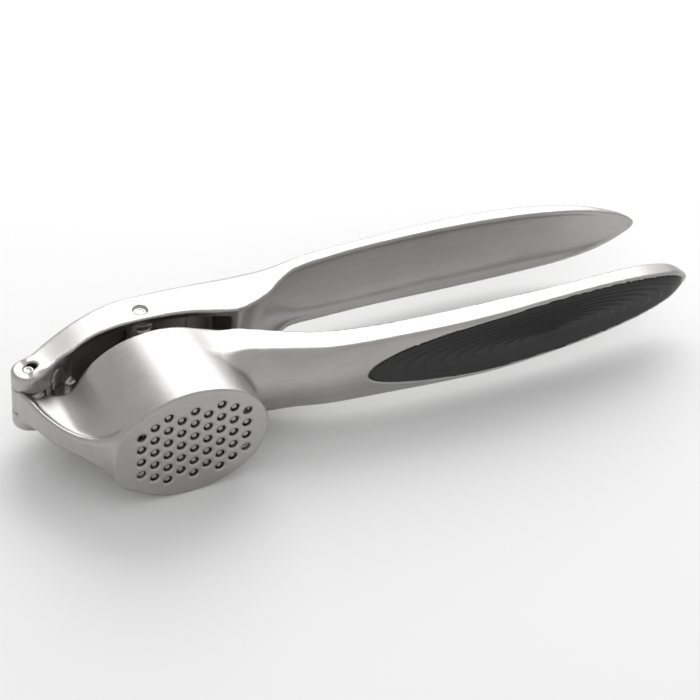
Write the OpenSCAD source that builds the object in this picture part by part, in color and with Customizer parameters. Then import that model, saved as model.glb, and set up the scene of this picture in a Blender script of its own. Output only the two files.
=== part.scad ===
// Garlic press, manual kitchen tool, lying on its side with the hinge axis vertical.
// Two die-cast levers pinned at the nose. The lower lever carries the perforated
// basket, the upper one a closed channel with the plunger hung on a cross pin.
// Millimetres. Working frame: X along the handles, Y out of the basket's mouth,
// Z along the hinge axis. The last transform puts the row origin at the bottom centre.

/* [Perforated basket] */
// basket half length along the handles at the perforated face
basket_a = 20.3; // [16:0.1:26]
// basket half width at the perforated face
basket_b = 16.1; // [12:0.1:20]
// basket depth from the face to the rim
basket_h = 27; // [20:0.5:36]
// half width left at the rim by the casting draft
rim_b = 15.3; // [12:0.1:19]
// thickness of the perforated floor
floor_t = 1.6; // [1.2:0.1:3]

/* [Holes] */
// hole diameter at the outer face
hole_d = 2.3; // [1.6:0.1:3]
// centre distance of neighbouring holes
hole_pitch = 4; // [3:0.1:6]

/* [Hinge] */
// hinge axis along the handles
hinge_x = -31.3; // [-40:0.1:-26]
// hinge axis above the perforated face
hinge_y = 31.5; // [24:0.1:40]
// hinge pin diameter
hinge_pin_d = 2.6; // [2:0.1:4]
// half thickness of the knuckle between the cheeks
knuckle_t = 3.6; // [2.5:0.1:5]
// outer half width of the two cheeks
cheek_w = 8.5; // [7:0.1:11]

/* [Plunger] */
// cross pin along the handles
pin_x = 1.1; // [-3:0.1:5]
// cross pin above the perforated face
pin_y = 39.1; // [34:0.1:44]
// cross pin diameter
plunger_pin_d = 2.8; // [2:0.1:4]
// press plate half length
plate_a = 14.7; // [12:0.1:17]
// press plate half width
plate_b = 11.4; // [9:0.1:13]
// press plate thickness
plate_t = 4.2; // [3:0.1:6]
// diameter of the studs that clear the holes
stud_d = 1.4; // [1:0.1:2]

/* [Grips] */
// grip insert half length
grip_a = 49.5; // [40:0.1:60]
// grip insert half width
grip_b = 8.75; // [6:0.05:10]
// grip insert centre along the handles
grip_x = 100.57; // [90:0.1:110]
// grip insert thickness
grip_t = 1.5; // [1:0.1:2.5]

/* [Hidden] */
plate_y = floor_t + 0.3;
stud_tip = 0.7;
row_x = -58.15;
row_y = -25.343;
row_z = 16.1;

// ---- curves ---------------------------------------------------------------
// smooth curve through a short table of [x, value] stations
function at(t, x, i = 0) = i >= len(t) - 2 || x < t[i + 1][0] ? i : at(t, x, i + 1);
function rise(t, i) = let (a = max(i - 1, 0), b = min(i + 1, len(t) - 1))
    (t[b][1] - t[a][1]) / (t[b][0] - t[a][0]);
function curve(t, x) = let (i = at(t, x), h = t[i + 1][0] - t[i][0], u = (x - t[i][0]) / h)
    t[i][1] * (1 + 2 * u) * (1 - u) * (1 - u) + t[i + 1][1] * u * u * (3 - 2 * u)
    + h * rise(t, i) * u * (1 - u) * (1 - u) + h * rise(t, i + 1) * u * u * (u - 1);
// signed power, for rounded box sections
function pw(v, e) = sign(v) * pow(abs(v), e);
function oval(a, b, n = 64) = [for (k = [0 : n - 1]) [a * cos(360 * k / n), b * sin(360 * k / n)]];

// upper lever, against x: open edge, crown of the back, half width
up_edge = [[-31.3, 27.4], [-27, 27.6], [-23.5, 30], [-19.5, 33.2], [-12, 34.8], [0, 35.3],
    [12, 34.4], [24.6, 31.6], [30, 33.2], [36, 36.4], [41, 40.4], [46, 43.2], [54, 44],
    [68, 44.4], [88, 44], [112, 42.6], [130, 40.9], [142, 39.8], [151.6, 39.6]];
up_crown = [[-31.3, 35.2], [-27.5, 38.4], [-23.5, 40.9], [-16, 44], [-6, 46.6], [6, 47.5], [28, 48.5],
    [46, 50], [66, 50.6], [88, 50.6], [104, 49.9], [120, 48.2], [136, 45.4], [146, 42.9],
    [151.6, 40.6]];
up_half = [[-31.3, 8.5], [-25, 9.2], [-16, 10.9], [-6, 11.9], [3, 12.1], [18, 11.6],
    [30, 10.5], [42, 9.6], [54, 10.2], [70, 10.6], [88, 10.8], [104, 10.6], [118, 9.9],
    [130, 8.7], [138, 7.1], [145, 4.7], [149.5, 2.4], [151.6, 0.6]];
up_dish = [[25.8, 0.4], [30, 5], [36, 8.6], [42, 6.6], [48, 4.6], [66, 4.2], [96, 4.2],
    [120, 3.6], [136, 2.6], [149.5, 0.3]];
// lower lever, against x: outer edge, bulge of the outer face, inner rim, half width
lo_edge = [[10, 17], [20, 16.2], [30, 14], [40, 11.3], [50, 10], [60, 9], [74, 7.8],
    [88, 7.2], [104, 7.8], [120, 8.7], [136, 9.8], [145, 10.9], [152, 12.9]];
lo_bulge = [[10, 4.5], [30, 4], [50, 2.8], [90, 2.4], [130, 1.9], [145, 1.2], [152, 0.2]];
lo_rim = [[10, 26.3], [20, 25.4], [26, 23.7], [32, 21.4], [40, 18.5], [50, 16.3], [62, 14.6], [76, 13.5],
    [96, 12.6], [112, 12.6], [124, 13.6], [136, 15], [146, 15.6], [152, 14.4]];
lo_half = [[10, 9], [20, 10.9], [26, 10.4], [34, 9.7], [50, 9.3], [72, 9.5], [92, 9.75],
    [108, 9.5], [122, 8.7], [134, 7.2], [142, 5.5], [148, 3.6], [152, 0.7]];
lo_dish = [[38, 0.2], [46, 1.8], [60, 2.6], [96, 2.6], [124, 2.4], [140, 1.8], [149.5, 0.3]];

// section of the upper lever: straight flanks, arched back; s draws it in, g widens it
function up_section(x, s = 0) = let (e = curve(up_edge, x), c = curve(up_crown, x) - s,
        w = curve(up_half, x), m = max(e + 0.35 * (c + s - e) - s, e + 0.02))
    concat([[x, e, w], [x, m, w]],
        [for (k = [1 : 9]) [x, m + (c - m) * pw(sin(18 * k), 0.72), w * pw(cos(18 * k), 0.72)]],
        [[x, m, -w], [x, e, -w]]);
// section of a dish scooped from a rim, half width h, depth d, towards +Y or -Y
function bowl(x, e, h, d, dir) =
    concat([[x, e - dir * 6, h]],
        [for (k = [0 : 10]) [x, e + dir * d * pw(sin(18 * k), 0.8), h * pw(cos(18 * k), 0.9)]],
        [[x, e - dir * 6, -h]]);
// section of the lower lever: flat inner side, bulged outer face; s draws the face in
function lo_section(x, s = 0) = let (e = curve(lo_edge, x) + s, r = curve(lo_rim, x),
        w = curve(lo_half, x), b = curve(lo_bulge, x))
    concat([[x, r, -w], [x, e, -w]],
        [for (k = [1 : 9]) [x, e - b * pw(sin(18 * k), 0.85), -w * pw(cos(18 * k), 0.85)]],
        [[x, e, w], [x, r, w]]);

// ---- solids ---------------------------------------------------------------
// skin over a row of closed sections with equal point counts
module skin(rows, flip = false) {
    n = len(rows[0]);
    m = len(rows);
    sides = [for (i = [0 : m - 2], k = [0 : n - 1], h = [0, 1])
        let (a = i * n + k, b = i * n + (k + 1) % n)
        h == 0 ? [a, b, b + n] : [a, b + n, a + n]];
    ends = [[for (k = [n - 1 : -1 : 0]) k], [for (k = [0 : n - 1]) (m - 1) * n + k]];
    faces = concat(sides, ends);
    polyhedron([for (r = rows, p = r) p],
        flip ? [for (f = faces) [for (k = [len(f) - 1 : -1 : 0]) f[k]]] : faces);
}

// upright cylinder along the hinge axis
module rod(x, y, r, z0, z1, n = 48) {
    translate([x, y, z0]) cylinder(r = r, h = z1 - z0, $fn = n);
}

// flat outline of [x, y] points given a thickness about the middle plane
module slab(pts, half) {
    translate([0, 0, -half]) linear_extrude(2 * half) polygon(pts);
}

// plan outline of [x, z] points standing along Y
module column(pts, y0, y1) {
    translate([0, y1, 0]) rotate([90, 0, 0]) linear_extrude(y1 - y0) polygon(pts);
}

function both(t, xs) = concat([for (x = xs) [x, curve(t, x)]],
    [for (k = [len(xs) - 1 : -1 : 0]) [xs[k], -curve(t, xs[k])]]);

up_x = [-30.73, -28, -25, -22, -19, -15, -10, -4, 4.3, 10, 18, 24.6, 27, 30, 34, 38, 42, 46, 52,
    60, 70, 80, 90, 100, 110, 119, 127, 134, 140, 145, 148.5, 150.6, 151.6];
lo_x = [10, 16, 22, 26, 30, 35, 41, 48, 56, 66, 76, 86, 96, 106, 116, 125, 133, 140, 145,
    148.5, 150.8, 152];
dish_x = [25.8, 28, 31, 34, 37, 40, 44, 50, 60, 72, 84, 96, 108, 119, 128, 136, 142, 146.5, 149.5];
inner_x = [38, 42, 48, 56, 66, 78, 90, 102, 114, 124, 132, 140, 146, 149.5];

module lo_body(s = 0) { skin([for (x = lo_x) lo_section(x, s)]); }
module up_body(s = 0) { skin([for (x = up_x) up_section(x, s)]); }

// rows of the staggered hole lattice: column offset and holes in it
rows = [[-4, 4], [-3, 5], [-2, 6], [-1, 5], [0, 6], [1, 5], [2, 6], [3, 5], [4, 4]];
module lattice(a = 99, b = 99) {
    for (r = rows, k = [0 : r[1] - 1]) {
        x = r[0] * hole_pitch * sqrt(3) / 2;
        z = (k - (r[1] - 1) / 2) * hole_pitch;
        if (pow(x / a, 2) + pow(z / b, 2) < 1.05)
            translate([x, 0, z]) rotate([-90, 0, 0]) children();
    }
}

// hole straight at the outer face, opening towards the chamber
module flared_hole() {
    hull() {
        translate([0, 0, -0.5]) cylinder(d = hole_d, h = 0.5 + stud_tip, $fn = 16);
        translate([0, 0, floor_t]) cylinder(d = hole_d + 0.9, h = 0.2, $fn = 16);
    }
}

// ring of [x, y, z] points of an oval at height y
function ring(cx, y, a, b, n = 64) = [for (p = oval(a, b, n)) [cx + p[0], y, p[1]]];

module basket() {
    skin([ring(-0.5, 0, basket_a, basket_b), ring(-0.7, basket_h, basket_a, rim_b)]);
}

// flared chamber: the plate tilts as it swings out of the mouth
module chamber() {
    skin([ring(0.15, floor_t, 15.45, 12.6), ring(0.1, 8, 17.3, 13), ring(0, 13, 18.35, 13.3),
        ring(-0.3, basket_h + 1, 18.8, 13.8)]);
}

// nose web, sole profile from the knuckle down to the perforated face
sole = [[-34.2, 30.6], [-35.42, 29.9], [-35, 27.6], [-33.9, 24.6], [-32.9, 21.6], [-31.4, 17], [-29.6, 12.9],
    [-27.6, 9.7], [-25.2, 6.6], [-22.6, 3.6], [-20.3, 1.4], [-17, 1.05], [-8, 1.05],
    [-8, 24.1], [-23.2, 25.3], [-27.4, 27.6], [-29.4, 28.7], [-33.2, 28.8]];
flare = [[-40, 3.4], [-27, 3.1], [-24.2, 3.9], [-22, 5.4], [-20, 7.8], [-18, 10.3], [-8, 11],
    [-8, -11], [-18, -10.3], [-20, -7.8], [-22, -5.4], [-24.2, -3.9], [-27, -3.1], [-40, -3.4]];
module nose() {
    intersection() {
        slab(sole, 14);
        column(flare, -1, 34);
    }
    rod(hinge_x, hinge_y, 4.3, -knuckle_t, knuckle_t);
}

// oval prism that bounds a grip insert
module grip_bound(y0, y1) {
    column([for (p = oval(grip_a, grip_b, 72)) [grip_x + p[0], p[1]]], y0, y1);
}

// lower lever: basket, nose and dished handle in one casting
module lower_lever() {
    color([0.74, 0.73, 0.71]) difference() {
        union() {
            basket();
            nose();
            lo_body();
        }
        chamber();
        lattice() flared_hole();
        rod(hinge_x, hinge_y, hinge_pin_d / 2 + 0.05, -10, 10);
        skin([for (x = inner_x) bowl(x, curve(lo_rim, x), curve(lo_half, x) - 1.3,
            curve(lo_dish, x), -1)], true);
        difference() {
            grip_bound(-2, 14);
            lo_body(grip_t);
        }
    }
}

// soft insert let into the outer face of the lower handle
module lower_grip() {
    color([0.09, 0.09, 0.09]) difference() {
        intersection() {
            grip_bound(-2, 14);
            lo_body();
        }
        lo_body(grip_t);
    }
}

// hinge pin, riveted through the knuckle and both cheeks
module hinge_pin() {
    color([0.62, 0.61, 0.6]) rod(hinge_x, hinge_y, hinge_pin_d / 2, -cheek_w + 0.3, cheek_w - 0.3);
}

// slot in each cheek that lets the upper lever settle on the hinge pin
module cheek_slot() {
    hull() {
        rod(hinge_x, hinge_y, hinge_pin_d / 2 + 0.08, -10, 10, 32);
        rod(hinge_x + 1.06, hinge_y + 0.56, hinge_pin_d / 2 + 0.08, -10, 10, 32);
    }
}

// hollow of the channel, open towards the basket: [x, ceiling, half width] stations
hollow = [[-17.6, 38.6, 8.4], [-15.5, 39.9, 8.8], [-13, 41, 9.1], [-10, 41.9, 9.5], [-7, 42.6, 9.8],
    [-3, 43, 10], [1, 43.1, 10.1], [12, 43.1, 9.9], [18, 43.1, 9.6], [23, 43.1, 9.2]];
module channel() {
    for (k = [0 : len(hollow) - 2]) hull() for (h = [hollow[k], hollow[k + 1]])
        translate([h[0], 19, -h[2]]) cube([0.3, h[1] - 19, 2 * h[2]]);
}

// upper lever: clevis cheeks, channel and dished handle in one casting
module upper_lever() {
    color([0.78, 0.77, 0.75]) difference() {
        union() {
            up_body();
            rod(hinge_x, hinge_y, 4.4, -cheek_w, cheek_w);
        }
        channel();
        translate([hinge_x - 10, 20, -knuckle_t - 0.3]) cube([15, 30, 2 * knuckle_t + 0.6]);
        cheek_slot();
        rod(pin_x, pin_y, plunger_pin_d / 2 + 0.05, -13, 13, 32);
        for (s = [-1, 1]) translate([pin_x, pin_y, s * 12.6]) cylinder(d = 3.7, h = 1.9,
            center = true, $fn = 32);
        skin([for (x = dish_x) bowl(x, curve(up_edge, x), curve(up_half, x) - 1.3,
            curve(up_dish, x), 1)]);
        difference() {
            grip_bound(38, 54);
            up_body(grip_t);
        }
    }
    // lug on the inside corner of the cross wall
    color([0.78, 0.77, 0.75]) rod(-19.2, 33, 1.4, -3, 3, 32);
}

// soft insert let into the back of the upper handle
module upper_grip() {
    color([0.09, 0.09, 0.09]) difference() {
        intersection() {
            grip_bound(38, 54);
            up_body();
        }
        up_body(grip_t);
    }
}

// cross pin of the plunger, its ends sunk in the flanks of the channel
module plunger_pin() {
    color([0.62, 0.61, 0.6]) rod(pin_x, pin_y, plunger_pin_d / 2, -11.55, 11.55);
}

// plunger: oval press plate, ribbed stem, pin boss and a stud for every hole it covers
module plunger() {
    color([0.68, 0.67, 0.65]) difference() {
        union() {
            column(oval(plate_a, plate_b), plate_y, plate_y + plate_t - 0.6);
            column(oval(plate_a - 0.6, plate_b - 0.6), plate_y + 1, plate_y + plate_t);
            rod(pin_x, pin_y, 3.5, -9.6, 9.6);
            slab([[-2, 4], [3.2, 4], [pin_x + 2.4, pin_y], [pin_x - 2.4, pin_y]], 8);
            slab([[-9, 5], [10, 5], [6.4, 12], [4, 30], [pin_x, pin_y], [-2.6, 30], [-5.6, 12]], 1.6);
            lattice(plate_a, plate_b) translate([0, 0, stud_tip]) cylinder(d = stud_d,
                h = plate_y - stud_tip + 0.5, $fn = 24);
        }
        rod(pin_x, pin_y, plunger_pin_d / 2 + 0.05, -13, 13);
    }
}

module placed() { translate([row_x, row_y, row_z]) children(); }

placed() lower_lever();
placed() lower_grip();
placed() hinge_pin();
placed() upper_lever();
placed() upper_grip();
placed() plunger_pin();
placed() plunger();
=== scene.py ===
"""Garlic press lying on its side, hinge axis upright. Works in millimetres in the
frame of the perforated face, and puts every mesh into the shared frame in metres."""
import math
import bpy
import numpy as np
from mathutils import Matrix, Vector


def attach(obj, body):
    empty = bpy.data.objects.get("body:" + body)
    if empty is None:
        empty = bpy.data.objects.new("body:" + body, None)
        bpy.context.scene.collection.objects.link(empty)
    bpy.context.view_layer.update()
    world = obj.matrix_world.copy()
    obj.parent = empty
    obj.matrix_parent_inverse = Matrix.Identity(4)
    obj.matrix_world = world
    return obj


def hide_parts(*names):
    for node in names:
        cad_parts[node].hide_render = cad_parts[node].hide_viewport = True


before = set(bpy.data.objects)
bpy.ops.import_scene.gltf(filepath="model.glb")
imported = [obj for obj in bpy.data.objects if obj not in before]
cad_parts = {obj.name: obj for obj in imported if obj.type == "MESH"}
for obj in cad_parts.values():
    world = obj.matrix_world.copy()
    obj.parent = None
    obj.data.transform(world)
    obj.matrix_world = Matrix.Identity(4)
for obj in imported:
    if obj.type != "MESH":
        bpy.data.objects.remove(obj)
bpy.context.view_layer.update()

SHIFT = np.array([-58.15, -25.343, 16.1])   # face frame to shared frame, mm
HINGE = (-31.3, 31.5)
PIVOT = (1.1, 39.1)
FACE_Y, RIM_Y, FLOOR_Y = 0.0, 27.0, 1.6
GRIP_X, GRIP_A, GRIP_B, GRIP_T = 100.57, 49.5, 8.75, 1.3
HOLE_R, STUD_R, STUD_TIP = 1.15, 0.62, 0.7
PITCH = 4.0
PLATE_A, PLATE_B = 14.7, 11.4
BASKET_A, BASKET_B = 20.3, 16.1
STUD_TOP, STUD_BASE_R = 2.2, 0.72
HINGE_PIN_R, PLUNGER_PIN_R = 1.3, 1.4

# ---- stations along the levers, [x, value] ----------------------------------
UP_EDGE = [[-31.3, 27.4], [-27, 27.6], [-23.5, 29.4], [-19.5, 32.2], [-12, 34.8], [0, 35.3],
           [12, 34.4], [24.6, 31.6], [30, 33.2], [36, 36.4], [41, 40.4], [46, 43.2], [54, 44],
           [68, 44.4], [88, 44], [112, 42.6], [130, 40.9], [142, 39.8], [151.6, 39.6]]
UP_CROWN = [[-31.3, 36.9], [-27.5, 39.0], [-23.5, 41.2], [-16, 44], [-6, 46.6], [6, 47.5],
            [28, 48.5], [46, 49.8], [66, 50.15], [88, 50.15], [104, 49.6], [120, 48.1],
            [136, 45.3], [146, 42.8], [151.6, 40.5]]
UP_HALF = [[-31.3, 8.5], [-25, 9.2], [-16, 10.9], [-6, 11.9], [3, 12.05], [18, 11.6],
           [30, 10.5], [42, 9.6], [54, 10.2], [70, 10.6], [88, 10.8], [104, 10.6],
           [118, 9.9], [130, 8.7], [138, 7.1], [145, 4.7], [149.5, 2.4], [151.6, 0.6]]
UP_DISH = [[25.8, 0.4], [30, 5], [36, 8.2], [42, 6.0], [48, 4.0], [66, 3.3], [96, 3.6],
           [120, 3.1], [136, 1.6], [144, 0.8], [149.5, 0.1]]
LO_EDGE = [[10, 17], [20, 16.2], [30, 14], [40, 11.3], [50, 10], [60, 9], [74, 7.8],
           [88, 7.2], [104, 7.8], [120, 8.7], [136, 9.8], [145, 10.9], [152, 12.9]]
LO_BULGE = [[10, 4.4], [30, 3.9], [50, 2.7], [90, 2.3], [130, 1.8], [145, 1.2], [152, 0.2]]
LO_RIM = [[10, 26.3], [20, 25.4], [26, 23.7], [32, 21.4], [40, 18.5], [50, 16.3], [62, 14.6],
          [76, 13.5], [96, 12.6], [112, 12.6], [124, 13.6], [136, 15], [146, 15.6], [152, 14.4]]
LO_HALF = [[10, 9], [20, 10.9], [26, 10.4], [34, 9.7], [50, 9.3], [72, 9.5], [92, 9.75],
           [108, 9.5], [122, 8.7], [134, 7.2], [142, 5.5], [148, 3.6], [152, 0.7]]
LO_DISH = [[38, 0.2], [46, 1.8], [60, 2.6], [96, 2.6], [124, 2.4], [140, 1.8], [149.5, 0.3]]
SOLE = [[-35.5, 30.4], [-35, 27.6], [-33.9, 24.6], [-32.9, 21.6], [-31.4, 17], [-29.6, 12.9],
        [-27.6, 9.7], [-25.2, 6.6], [-22.6, 3.6], [-20.3, 1.4], [-17.5, 0.1], [-8, 0.05]]
WEB_TOP = [[-36, 29], [-29.4, 28.9], [-27.4, 27.6], [-23.2, 25.3], [-8, 24.1]]
WEB_HALF = [[-36, 3.3], [-27, 2.9], [-24.2, 3.5], [-22, 4.7], [-20, 6.4], [-18, 8.2], [-8, 9]]
HOLLOW_TOP = [[-19.6, 37.5], [-13, 41], [-7, 42.6], [1, 43.1], [23.3, 43.1]]
HOLLOW_HALF = [[-19.6, 8.0], [-7, 9.8], [1, 10.1], [12, 9.9], [23.3, 9.2]]
CHAMBER_A = [[1.6, 15.45], [8, 17.3], [13, 18.35], [28, 18.8]]
CHAMBER_B = [[1.6, 12.6], [8, 13], [13, 13.3], [28, 13.8]]
LATTICE = [(c * PITCH * math.sqrt(3) / 2, (k - (n - 1) / 2) * PITCH)
           for c, n in zip(range(-4, 5), (4, 5, 6, 5, 6, 5, 6, 5, 4)) for k in range(n)]


# ---- distance functions, mm, negative inside ---------------------------------
def curve(table, x):
    """Smooth value of a station table at x."""
    t = np.array(table, dtype=float)
    xs, ys = t[:, 0], t[:, 1]
    slope = np.empty(len(xs))
    slope[1:-1] = (ys[2:] - ys[:-2]) / (xs[2:] - xs[:-2])
    slope[0] = (ys[1] - ys[0]) / (xs[1] - xs[0])
    slope[-1] = (ys[-1] - ys[-2]) / (xs[-1] - xs[-2])
    x = np.clip(x, xs[0], xs[-1])
    i = np.clip(np.searchsorted(xs, x, side="right") - 1, 0, len(xs) - 2)
    h = xs[i + 1] - xs[i]
    u = (x - xs[i]) / h
    return (ys[i] * (1 + 2 * u) * (1 - u) ** 2 + ys[i + 1] * u * u * (3 - 2 * u)
            + h * slope[i] * u * (1 - u) ** 2 + h * slope[i + 1] * u * u * (u - 1))


def ramp(x, a, b):
    u = np.clip((x - a) / (b - a), 0, 1)
    return u * u * (3 - 2 * u)


def join(a, b, k):
    """Union with a fillet of about k."""
    h = np.maximum(k - np.abs(a - b), 0) / k
    return np.minimum(a, b) - h * h * k / 4


def common(a, b, k):
    return -join(-a, -b, k)


def cut(a, b, k):
    """a with b taken out, its edge eased by about k."""
    return common(a, -b, k)


def round_box(p, q, hp, hq, r):
    u, v = np.abs(p) - hp + r, np.abs(q) - hq + r
    return (np.minimum(np.maximum(u, v), 0)
            + np.hypot(np.maximum(u, 0), np.maximum(v, 0)) - r)


def round_rod(x, y, z, centre, radius, half, r):
    return round_box(np.hypot(x - centre[0], y - centre[1]), z, radius, half, r)


def oval(x, z, a, b):
    near = np.sqrt((x / a) ** 2 + (z / b) ** 2)
    far = np.sqrt((x / a ** 2) ** 2 + (z / b ** 2) ** 2)
    return near * (near - 1) / np.maximum(far, 1e-6)


def upper_back(x, z):
    """Outer face of the upper handle."""
    w = np.maximum(curve(UP_HALF, x), 0.4)
    return curve(UP_CROWN, x) - 2.1 * np.minimum(np.abs(z) / w, 1.2) ** 2


def lower_face(x, z):
    """Outer face of the lower handle."""
    w = np.maximum(curve(LO_HALF, x), 0.4)
    b = curve(LO_BULGE, x)
    return curve(LO_EDGE, x) - b + b * np.minimum(np.abs(z) / w, 1.2) ** 2


def grip_depth(x):
    """Depth of the let-in grips, thinner towards the handles' tips."""
    return GRIP_T * (1 - 0.65 * ramp(x, 138, 150))


def dish(x, y, z, rim, half, depth, side, x0, x1):
    d = np.maximum(depth, 0.25)
    h = np.maximum(half, 0.25)
    over = np.maximum(side * (y - rim), 0)
    d = (np.sqrt((z / h) ** 2 + (over / d) ** 2) - 1) * np.minimum(d, h)
    return np.maximum(d, np.maximum(x0 - x, x - x1))


def hole_field(x, y, z):
    """Distance to the nearest of the perforations."""
    out = np.full(x.shape, 9.0)
    near = y < FLOOR_Y + 1.2
    if near.any():
        px, py, pz = x[near], y[near], z[near]
        best = np.full(px.shape, 9.0)
        for cx, cz in LATTICE:
            best = np.minimum(best, np.hypot(px - cx, pz - cz))
        flare = 0.45 * np.clip((py - 0.75) / (FLOOR_Y - 0.75), 0, 1)
        ease = 0.12 * np.clip(1 - py / 0.25, 0, 1)
        out[near] = np.maximum(best - HOLE_R - flare - ease, py - FLOOR_Y - 0.05)
    return out


def lower_lever_field(x, y, z):
    half_b = BASKET_B - 0.8 * y / RIM_Y
    basket = oval(x + 0.5 + 0.2 * y / RIM_Y, z, BASKET_A, half_b)
    basket = round_box(np.maximum(basket + 5, 0), y - RIM_Y / 2, 5, RIM_Y / 2, 0.55)
    # handle and neck
    e, b = curve(LO_EDGE, x), curve(LO_BULGE, x)
    rim, w = curve(LO_RIM, x), curve(LO_HALF, x)
    low = e - b
    mid, tall = (low + rim) / 2, np.maximum((rim - low) / 2, 0.3)
    outer = np.clip((rim - y) / np.maximum(rim - low, 0.5), 0, 1)
    arch = b * np.minimum(np.abs(z) / np.maximum(w, 0.5), 1.2) ** 2 * outer
    corner = 2.4 - 1.5 * ramp(x, 32, 50)
    r = np.where(y < mid, np.minimum(corner, 0.9 * np.minimum(tall, w)), 0.55)
    r = np.minimum(r, np.maximum(w, 0.3) * 0.9)
    arm = round_box(y - arch - mid, z, tall, np.maximum(w, 0.3), r)
    arm = common(arm, np.maximum(10 - x, x - 152.0), 0.8)
    arm = cut(arm, dish(x, y, z, rim, w - 1.3, curve(LO_DISH, x), -1, 38, 149.8), 0.6)
    # nose web with a proud sole band
    sole = curve(SOLE, x)
    steep = np.sqrt(1 + ((curve(SOLE, x + 0.2) - sole) / 0.2) ** 2)
    under = (sole - y) / np.minimum(steep, 6)
    over = y - curve(WEB_TOP, x)
    flare = curve(WEB_HALF, x)
    band = 0.9 * np.exp(-((under + 0.6) / 1.1) ** 2) + 0.9 * ramp(y, 20, 28) * ramp(-x, 29, 33)
    web = common(np.abs(z) - flare - band + 0.5, common(under, over, 1.0), 0.9)
    web = np.maximum(web, np.maximum(-35.7 - x, x + 10))
    knuckle = round_rod(x, y, z, HINGE, 4.3, 3.6, 0.5)
    nose = join(web, knuckle, 0.8)
    body = join(join(basket, arm, 5.0), nose, 3.2)
    body = np.maximum(body, FACE_Y - y)
    # hollow, perforations and let-in grip
    hollow = oval(x - 0.15 + 0.45 * y / 28, z, curve(CHAMBER_A, y), curve(CHAMBER_B, y))
    body = cut(body, common(hollow, FLOOR_Y - y, 1.0), 0.5)
    body = cut(body, hole_field(x, y, z), 0.12)
    pocket = np.maximum(oval(x - GRIP_X, z, GRIP_A, GRIP_B),
                        y - lower_face(x, z) - grip_depth(x))
    pocket = np.maximum(pocket, y - 13)
    body = cut(body, pocket, 0.25)
    return cut(body, np.hypot(x - HINGE[0], y - HINGE[1]) - HINGE_PIN_R - 0.02, 0.1)


def upper_lever_field(x, y, z):
    cheek = ramp(x, -33, -29) * (1 - ramp(x, -24, -19))
    e = curve(UP_EDGE, x) + 0.35 * cheek * np.clip(np.abs(z) - 3.6, 0, 5.5)
    c, w = curve(UP_CROWN, x), curve(UP_HALF, x)
    mid, tall = (e + c) / 2, np.maximum((c - e) / 2, 0.3)
    outer = np.clip((y - e) / np.maximum(c - e, 0.5), 0, 1)
    arch = 2.1 * np.minimum(np.abs(z) / np.maximum(w, 0.5), 1.2) ** 2 * outer
    corner = 1.0 + 2.2 * ramp(x, -10, 24) - 1.5 * ramp(x, 36, 52)
    r = np.where(y > mid, np.minimum(corner, 0.9 * np.minimum(tall, w)), 0.6)
    r = np.minimum(r, np.maximum(w, 0.3) * 0.9)
    body = round_box(y + arch - mid, z, tall, np.maximum(w, 0.3), r)
    body = common(body, np.maximum(HINGE[0] + 0.4 - x, x - 151.6), 0.8)
    knuckle = round_rod(x, y, z, HINGE, 4.35, 8.45, 0.9)
    body = join(body, knuckle, 1.6)
    body = join(body, round_rod(x, y, z, (-20.9, 30.4), 1.5, 2.6, 0.5), 0.8)
    # channel with a raised pad on its floor
    top = curve(HOLLOW_TOP, x)
    hollow = common(common(np.abs(z) - curve(HOLLOW_HALF, x), y - top, 1.2),
                    np.maximum(-19.6 - x, x - 23.3), 1.4)
    pad = common(round_box(x - 10.2, z, 4.9, 8.4, 1.4), 41.3 - y, 0.5)
    body = cut(body, cut(hollow, pad, 0.4), 0.35)
    # clevis slot, pin seats and the marks left by the mould's ejectors
    body = cut(body, np.maximum(np.abs(z) - 3.9, x + 26.3), 0.4)
    t = np.clip(((x - HINGE[0]) * 0.883 + (y - HINGE[1]) * 0.469) / 1.2, 0, 1) * 1.2
    slot = np.hypot(x - HINGE[0] - 0.883 * t, y - HINGE[1] - 0.469 * t) - 1.38
    body = cut(body, slot, 0.25)
    seat = np.maximum(np.hypot(x - PIVOT[0], y - PIVOT[1]) - 1.85, 11.45 - np.abs(z))
    body = cut(body, seat, 0.25)
    mark = np.abs(np.hypot(x + 24.2, z - 5.2) - 2.1) - 0.18
    body = cut(body, np.maximum(mark, y - e - 0.3), 0.15)
    rim_dish = dish(x, y, z, curve(UP_EDGE, x), w - 1.25, curve(UP_DISH, x), 1, 25.6, 149.8)
    body = cut(body, rim_dish, 0.6)
    pocket = np.maximum(oval(x - GRIP_X, z, GRIP_A, GRIP_B),
                        upper_back(x, z) - grip_depth(x) - y)
    return cut(body, np.maximum(pocket, 38 - y), 0.25)


def plunger_field(x, y, z):
    plate = oval(x, z, PLATE_A - 0.1, PLATE_B - 0.05)
    plate = round_box(np.maximum(plate + 4, 0), y - 4.0, 4, 2.1, 0.7)
    across = round_box(x - 0.6 - 0.012 * (y - 6), z, 2.4 - 0.02 * (y - 6), 7.8, 0.5)
    across = np.maximum(across, np.maximum(4 - y, y - 39))
    spread = np.interp(y, [5, 12, 30, 39], [9.2, 5.9, 3.2, 1.0])
    fin = round_box(x - 0.6, z, spread, 1.6, 0.5)
    fin = np.maximum(fin, np.maximum(4 - y, y - 39))
    boss = round_rod(x, y, z, PIVOT, 3.5, 9.5, 0.4)
    stem = join(join(across, fin, 1.4), boss, 1.0)
    body = join(plate, stem, 1.6)
    return cut(body, np.hypot(x - PIVOT[0], y - PIVOT[1]) - PLUNGER_PIN_R - 0.03, 0.1)


# ---- meshes -------------------------------------------------------------------
def to_object(name, verts, faces, smooth=True):
    mesh = bpy.data.meshes.new(name)
    mesh.from_pydata(((verts + SHIFT) / 1000.0).tolist(), [], faces)
    mesh.update()
    mesh.validate()
    obj = bpy.data.objects.new(name, mesh)
    bpy.context.scene.collection.objects.link(obj)
    if smooth:
        mesh.shade_smooth()
    return obj


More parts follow.
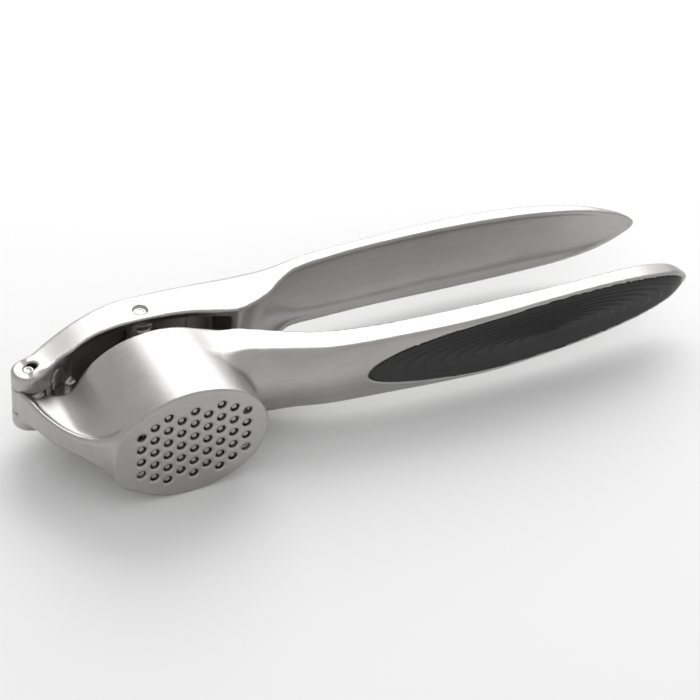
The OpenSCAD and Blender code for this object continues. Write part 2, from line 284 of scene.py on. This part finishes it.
def skin_of(field, low, high, step):
    """Quads over the zero level of a distance function, drawn onto the true surface."""
    axes = [np.arange(a, b + step, step) for a, b in zip(low, high)]
    grid = np.meshgrid(*axes, indexing="ij")
    value = field(*grid)
    inside = value < 0
    n = value.shape
    total = np.zeros((n[0] - 1, n[1] - 1, n[2] - 1, 3), dtype=np.float32)
    count = np.zeros(total.shape[:3], dtype=np.float32)
    for ax in range(3):
        for du in (0, 1):
            for dv in (0, 1):
                other = [k for k in range(3) if k != ax]
                a, b = [None] * 3, [None] * 3
                a[ax], b[ax] = slice(0, -1), slice(1, None)
                for k, d in zip(other, (du, dv)):
                    a[k] = b[k] = slice(d, n[k] - 1 + d)
                a, b = tuple(a), tuple(b)
                cross = inside[a] != inside[b]
                va, vb = value[a][cross], value[b][cross]
                offset = np.zeros((len(va), 3), dtype=np.float32)
                offset[:, ax] = va / (va - vb)
                offset[:, other[0]], offset[:, other[1]] = du, dv
                total[cross] += offset
                count[cross] += 1
    active = count > 0
    index = np.full(active.shape, -1, dtype=np.int64)
    index[active] = np.arange(active.sum())
    where = np.argwhere(active)
    verts = (where + total[active] / count[active][:, None]) * step + np.array(low)
    faces = []
    for ax in range(3):
        u, v = [k for k in range(3) if k != ax]
        a, b = [slice(1, -1)] * 3, [slice(1, -1)] * 3
        a[ax], b[ax] = slice(0, -1), slice(1, None)
        ia, ib = inside[tuple(a)], inside[tuple(b)]
        cells = np.argwhere(ia != ib)
        first = ia[tuple(cells.T)]
        cells[:, u] += 1
        cells[:, v] += 1

        def at(du, dv):
            c = cells.copy()
            c[:, u] -= du
            c[:, v] -= dv
            return index[tuple(c.T)]
        quad = np.stack([at(1, 1), at(0, 1), at(0, 0), at(1, 0)], axis=1)
        keep = first if ax != 1 else ~first
        quad[~keep] = quad[~keep][:, ::-1]
        faces.append(quad)
    faces = np.concatenate(faces)
    eps = 0.02
    for _ in range(3):
        p = verts.T
        f = field(*p)
        g = np.stack([(field(*(p + d)) - field(*(p - d))) / (2 * eps)
                      for d in np.eye(3)[:, :, None] * eps], axis=1)
        size = np.maximum((g ** 2).sum(1), 0.2)
        verts = verts - np.clip(f / size, -0.3, 0.3)[:, None] * g
    return verts, faces.tolist()


def grip_mesh(name, surface, side, rings=11):
    """Soft oval pad on a handle's outer face, stepped in concentric ovals.
    side is +1 where the face looks along +Y and -1 where it looks along -Y."""
    a, b = GRIP_A - 0.12, GRIP_B - 0.12
    radii = np.concatenate([np.linspace(0.02, 0.965, 150), [0.975, 0.985, 0.993, 0.998, 1.0]])
    turns = np.linspace(0, 2 * np.pi, 241)[:-1]
    rr, tt = np.meshgrid(radii, turns, indexing="ij")
    # the ovals gather towards a point off the middle
    shift = 2.5 * (1 - rr ** 1.5)
    x = GRIP_X + shift + a * rr * np.cos(tt)
    z = b * rr * np.sin(tt) * (1 - 0.06 * (1 - rr))
    wave = rr * rings + 0.25 * np.sin(tt * 2 + 0.7) * rr * (1 - rr)
    saw = wave - np.floor(wave)
    step = np.where(saw < 0.82, saw / 0.82, (1 - saw) / 0.18)
    height = 0.05 + 0.34 * step * ramp(0.97 - rr, 0, 0.05)
    height = height - 0.55 * ramp(rr, 0.975, 1.0) ** 2
    y = surface(x, z) + side * height
    top = np.stack([x, y, z], axis=-1).reshape(-1, 3)
    # the underside follows the pocket's floor
    ur, ut = np.meshgrid(np.linspace(1.0, 0.04, 25), turns, indexing="ij")
    ux = GRIP_X + 2.5 * (1 - ur ** 1.5) + a * ur * np.cos(ut)
    uz = b * ur * np.sin(ut) * (1 - 0.06 * (1 - ur))
    under = surface(ux, uz) - side * (grip_depth(ux) - 0.02)
    under = np.stack([ux, under, uz], axis=-1).reshape(-1, 3)
    middle = float(surface(np.array([GRIP_X + 2.5]), np.array([0.0]))[0])
    ends = [[GRIP_X + 2.5, middle + side * 0.07, 0],
            [GRIP_X + 2.5, middle - side * (GRIP_T - 0.02), 0]]
    verts = np.concatenate([top, under, ends])
    nr, nt = rr.shape
    faces = []
    for i in range(nr + len(ur) - 1):
        for j in range(nt):
            k = (j + 1) % nt
            faces.append((i * nt + j, i * nt + k, (i + 1) * nt + k, (i + 1) * nt + j))
    last = len(verts) - 2 - nt
    for j in range(nt):
        k = (j + 1) % nt
        faces.append((k, j, len(verts) - 2))
        faces.append((last + j, last + k, len(verts) - 1))
    if side < 0:
        faces = [f[::-1] for f in faces]
    return to_object(name, verts, [f[::-1] for f in faces])


def pin_mesh(name, centre, radius, half, dimple):
    """Turned pin with eased, dished ends."""
    profile = [(0, half - dimple), (radius * 0.45, half - dimple * 0.9),
               (radius * 0.72, half - 0.02), (radius * 0.86, half), (radius * 0.96, half - 0.08),
               (radius, half - 0.22)]
    profile = profile + [(r, -h) for r, h in profile[::-1]]
    turns = 64
    verts, faces = [], []
    for r, h in profile[1:-1]:
        for k in range(turns):
            t = 2 * math.pi * k / turns
            verts.append((centre[0] + r * math.cos(t), centre[1] + r * math.sin(t), h))
    rows = len(profile) - 2
    for i in range(rows - 1):
        for k in range(turns):
            n = (k + 1) % turns
            faces.append((i * turns + k, (i + 1) * turns + k, (i + 1) * turns + n, i * turns + n))
    verts += [(*centre, profile[0][1]), (*centre, profile[-1][1])]
    for k in range(turns):
        n = (k + 1) % turns
        faces.append((k, n, len(verts) - 2))
        faces.append(((rows - 1) * turns + n, (rows - 1) * turns + k, len(verts) - 1))
    return to_object(name, np.array(verts), faces)


# ---- node groups: the plunger's studs -------------------------------------------
def stud_tree():
    tree = bpy.data.node_groups.new("plunger_studs", "GeometryNodeTree")
    iface = tree.interface
    iface.new_socket("Geometry", in_out="INPUT", socket_type="NodeSocketGeometry")
    for label in ("Base radius", "Tip radius", "Length"):
        iface.new_socket(label, in_out="INPUT", socket_type="NodeSocketFloat")
    iface.new_socket("Metal", in_out="INPUT", socket_type="NodeSocketMaterial")
    iface.new_socket("Geometry", in_out="OUTPUT", socket_type="NodeSocketGeometry")
    node, link = tree.nodes.new, tree.links.new
    given, out = node("NodeGroupInput"), node("NodeGroupOutput")
    cone = node("GeometryNodeMeshCone")
    cone.inputs["Vertices"].default_value = 24
    link(given.outputs["Tip radius"], cone.inputs["Radius Top"])
    link(given.outputs["Base radius"], cone.inputs["Radius Bottom"])
    link(given.outputs["Length"], cone.inputs["Depth"])
    turn = node("GeometryNodeTransform")
    turn.inputs["Rotation"].default_value = (math.pi / 2, 0, 0)
    link(cone.outputs["Mesh"], turn.inputs["Geometry"])
    place = node("GeometryNodeInstanceOnPoints")
    link(given.outputs["Geometry"], place.inputs["Points"])
    link(turn.outputs["Geometry"], place.inputs["Instance"])
    real = node("GeometryNodeRealizeInstances")
    link(place.outputs["Instances"], real.inputs["Geometry"])
    paint = node("GeometryNodeSetMaterial")
    link(real.outputs["Geometry"], paint.inputs["Geometry"])
    link(given.outputs["Metal"], paint.inputs["Material"])
    link(paint.outputs["Geometry"], out.inputs["Geometry"])
    return tree


def make_studs(name, metal):
    points = [(x, STUD_TOP, z) for x, z in LATTICE
              if (x / PLATE_A) ** 2 + (z / PLATE_B) ** 2 < 1.05]
    seed = to_object(name + "_points", np.array(points), [], smooth=False)
    tree = stud_tree()
    mod = seed.modifiers.new("studs", "NODES")
    mod.node_group = tree
    length = STUD_TOP - STUD_TIP
    sizes = {"Base radius": STUD_BASE_R / 1000, "Tip radius": STUD_R / 1000, "Length": length / 1000,
             "Metal": metal}
    for item in tree.interface.items_tree:
        if item.in_out == "INPUT" and item.name in sizes:
            mod[item.identifier] = sizes[item.name]
    bpy.context.view_layer.update()
    evaluated = seed.evaluated_get(bpy.context.evaluated_depsgraph_get())
    mesh = bpy.data.meshes.new_from_object(evaluated)
    studs = bpy.data.objects.new(name, mesh)
    bpy.context.scene.collection.objects.link(studs)
    bpy.data.objects.remove(seed)
    return studs


# ---- shader expressions ------------------------------------------------------------
class Wire:
    """A socket that takes arithmetic."""

    def __init__(self, tree, socket):
        self.tree, self.socket = tree, socket

    def node(self, kind, settings=None, out=0, **values):
        n = self.tree.nodes.new(kind)
        for key, value in (settings or {}).items():
            setattr(n, key, value)
        for key, value in values.items():
            slot = n.inputs[int(key[1:])] if key[0] == "i" and key[1:].isdigit() \
                else n.inputs[key.replace("_", " ")]
            if isinstance(value, Wire):
                self.tree.links.new(value.socket, slot)
            else:
                slot.default_value = value
        return Wire(self.tree, n.outputs[out])

    def math(self, operation, a, b=0.0):
        return self.node("ShaderNodeMath", {"operation": operation}, i0=a, i1=b)

    def __add__(self, other):
        return self.math("ADD", self, other)

    def __mul__(self, other):
        return self.math("MULTIPLY", self, other)


def new_material(name, **constants):
    mat = bpy.data.materials.new(name)
    mat.use_nodes = True
    shader = mat.node_tree.nodes["Principled BSDF"]
    for key, value in constants.items():
        shader.inputs[key.replace("_", " ")].default_value = value
    start = Wire(mat.node_tree, None)
    where = start.node("ShaderNodeTexCoord", out="Object")
    return mat, shader, where


def noise(where, scale, detail=3.0, stretch=None):
    if stretch:
        where = where.node("ShaderNodeMapping", Vector=where, Scale=stretch)
    return where.node("ShaderNodeTexNoise", Vector=where, Scale=scale, Detail=detail)


def blasted_metal(name, light, dark, rough, grain=1.0):
    """Satin die-cast metal: fine blasted grain, soft cloudiness and a few casting pits."""
    mat, shader, where = new_material(name, Metallic=1.0)
    cloud = noise(where, 45.0, 2.0)
    brush = noise(where, 900.0, 2.0, (0.12, 1.0, 1.0))
    grit = noise(where, 5200.0, 2.0)
    tone = cloud * 0.5 + brush * 0.3 + grit * 0.2
    colour = where.node("ShaderNodeMix", {"data_type": "RGBA"}, out=2,
                        i0=tone.node("ShaderNodeMapRange", Value=tone, From_Min=0.32,
                                     From_Max=0.68),
                        i6=(*dark, 1), i7=(*light, 1))
    tree = mat.node_tree
    tree.links.new(colour.socket, shader.inputs["Base Color"])
    finish = cloud * 0.07 + brush * 0.08 + (rough - 0.075)
    tree.links.new(finish.socket, shader.inputs["Roughness"])
    relief = grit * 0.6 + brush * 0.4
    bump = where.node("ShaderNodeBump", Height=relief, Strength=0.16 * grain, Distance=0.00012)
    tree.links.new(bump.socket, shader.inputs["Normal"])
    return mat


def turned_steel(name):
    mat, shader, where = new_material(name, Metallic=1.0)
    lines = noise(where, 2500.0, 2.0, (1.0, 1.0, 0.1))
    colour = where.node("ShaderNodeMix", {"data_type": "RGBA"}, out=2, i0=lines,
                        i6=(0.5, 0.49, 0.47, 1), i7=(0.78, 0.77, 0.75, 1))
    mat.node_tree.links.new(colour.socket, shader.inputs["Base Color"])
    finish = lines * 0.12 + 0.16
    mat.node_tree.links.new(finish.socket, shader.inputs["Roughness"])
    return mat


def soft_rubber(name):
    mat, shader, where = new_material(name, Metallic=0.0)
    cloud = noise(where, 60.0, 2.0)
    grit = noise(where, 3500.0, 3.0)
    colour = where.node("ShaderNodeMix", {"data_type": "RGBA"}, out=2, i0=cloud * 0.6 + grit * 0.4,
                        i6=(0.006, 0.006, 0.007, 1), i7=(0.016, 0.016, 0.017, 1))
    mat.node_tree.links.new(colour.socket, shader.inputs["Base Color"])
    finish = cloud * 0.1 + grit * 0.12 + 0.36
    mat.node_tree.links.new(finish.socket, shader.inputs["Roughness"])
    bump = where.node("ShaderNodeBump", Height=grit, Strength=0.12, Distance=0.0001)
    mat.node_tree.links.new(bump.socket, shader.inputs["Normal"])
    return mat


def dress(obj, mat, body, slot, *nodes):
    obj.data.materials.clear()
    obj.data.materials.append(mat)
    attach(obj, body)
    if nodes:
        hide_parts(*nodes)
    return obj


# ---- camera and light ----------------------------------------------------------------
def set_camera():
    right = (0.895273, -0.439882, 0.070641)
    down = (-0.232182, -0.595996, -0.768687)
    ahead = (0.380234, 0.671783, -0.635712)
    eye = (np.array([-155.09, -346.06, 344.70]) + SHIFT) / 1000
    cam = bpy.data.cameras.new("camera")
    cam.lens, cam.sensor_width = 107.74, 36.0
    cam.clip_start, cam.clip_end = 0.01, 20
    obj = bpy.data.objects.new("camera", cam)
    obj.matrix_world = Matrix((
        (right[0], -down[0], -ahead[0], eye[0]), (right[1], -down[1], -ahead[1], eye[1]),
        (right[2], -down[2], -ahead[2], eye[2]), (0, 0, 0, 1)))
    bpy.context.scene.collection.objects.link(obj)
    bpy.context.scene.camera = obj


def soft_light(name, place, aim, width, height, power):
    data = bpy.data.lights.new(name, "AREA")
    data.shape, data.size, data.size_y, data.energy = "RECTANGLE", width, height, power
    obj = bpy.data.objects.new(name, data)
    obj.location = place
    ahead = Vector(aim) - Vector(place)
    obj.rotation_euler = ahead.to_track_quat("-Z", "Y").to_euler()
    bpy.context.scene.collection.objects.link(obj)


def set_studio():
    world = bpy.data.worlds.new("studio")
    bpy.context.scene.world = world
    world.use_nodes = True
    back = world.node_tree.nodes["Background"]
    back.inputs["Color"].default_value = (1, 1, 1, 1)
    back.inputs["Strength"].default_value = 0.68
    soft_light("behind", (0.304, 0.536, 0.512), (0, 0, 0), 0.7, 0.7, 4.6)
    bpy.context.scene.view_settings.view_transform = "Standard"
    mesh = bpy.data.meshes.new("floor")
    s = 6.0
    mesh.from_pydata([(-s, -s, 0), (s, -s, 0), (s, s, 0), (-s, s, 0)], [], [(0, 1, 2, 3)])
    floor = bpy.data.objects.new("floor", mesh)
    bpy.context.scene.collection.objects.link(floor)
    mat, shader, where = new_material("floor_paper", Roughness=0.9)
    shade = where.node("ShaderNodeMix", {"data_type": "RGBA"}, out=2, i0=noise(where, 3.0),
                       i6=(0.9, 0.9, 0.9, 1), i7=(0.93, 0.93, 0.93, 1))
    mat.node_tree.links.new(shade.socket, shader.inputs["Base Color"])
    floor.data.materials.append(mat)


# ---- the press ---------------------------------------------------------------------------
cast = blasted_metal("satin_cast_metal", (0.48, 0.475, 0.46), (0.38, 0.375, 0.365), 0.36)
press_metal = blasted_metal("plunger_metal", (0.45, 0.445, 0.43), (0.36, 0.355, 0.345), 0.36)
steel = turned_steel("turned_steel")
rubber = soft_rubber("soft_rubber")

STEP = 0.45
v, f = skin_of(lower_lever_field, (-37, -1, -17.2), (153.5, 37, 17.2), STEP)
dress(to_object("lower_lever_casting", v, f), cast, "lower", "cast_metal", "lower_lever")
v, f = skin_of(upper_lever_field, (-37, 25.5, -13.2), (153, 52, 13.2), STEP)
dress(to_object("upper_lever_casting", v, f), cast, "upper", "cast_metal", "upper_lever")
v, f = skin_of(plunger_field, (-16, 0.8, -12.6), (16, 43.6, 12.6), STEP)
dress(to_object("plunger_casting", v, f), press_metal, "press_plate", "plunger_metal", "plunger")
dress(make_studs("plunger_studs", press_metal), press_metal, "press_plate", "plunger_metal")
dress(grip_mesh("lower_grip_pad", lower_face, -1), rubber, "lower", "grip", "lower_grip")
dress(grip_mesh("upper_grip_pad", upper_back, 1), rubber, "upper", "grip", "upper_grip")
dress(pin_mesh("hinge_rivet", HINGE, HINGE_PIN_R, 8.3, 0.35), steel, "lower", "pin_metal", "hinge_pin")
dress(pin_mesh("plunger_rivet", PIVOT, PLUNGER_PIN_R, 11.6, 0.35), steel, "upper", "pin_metal", "plunger_pin")

set_camera()
set_studio()
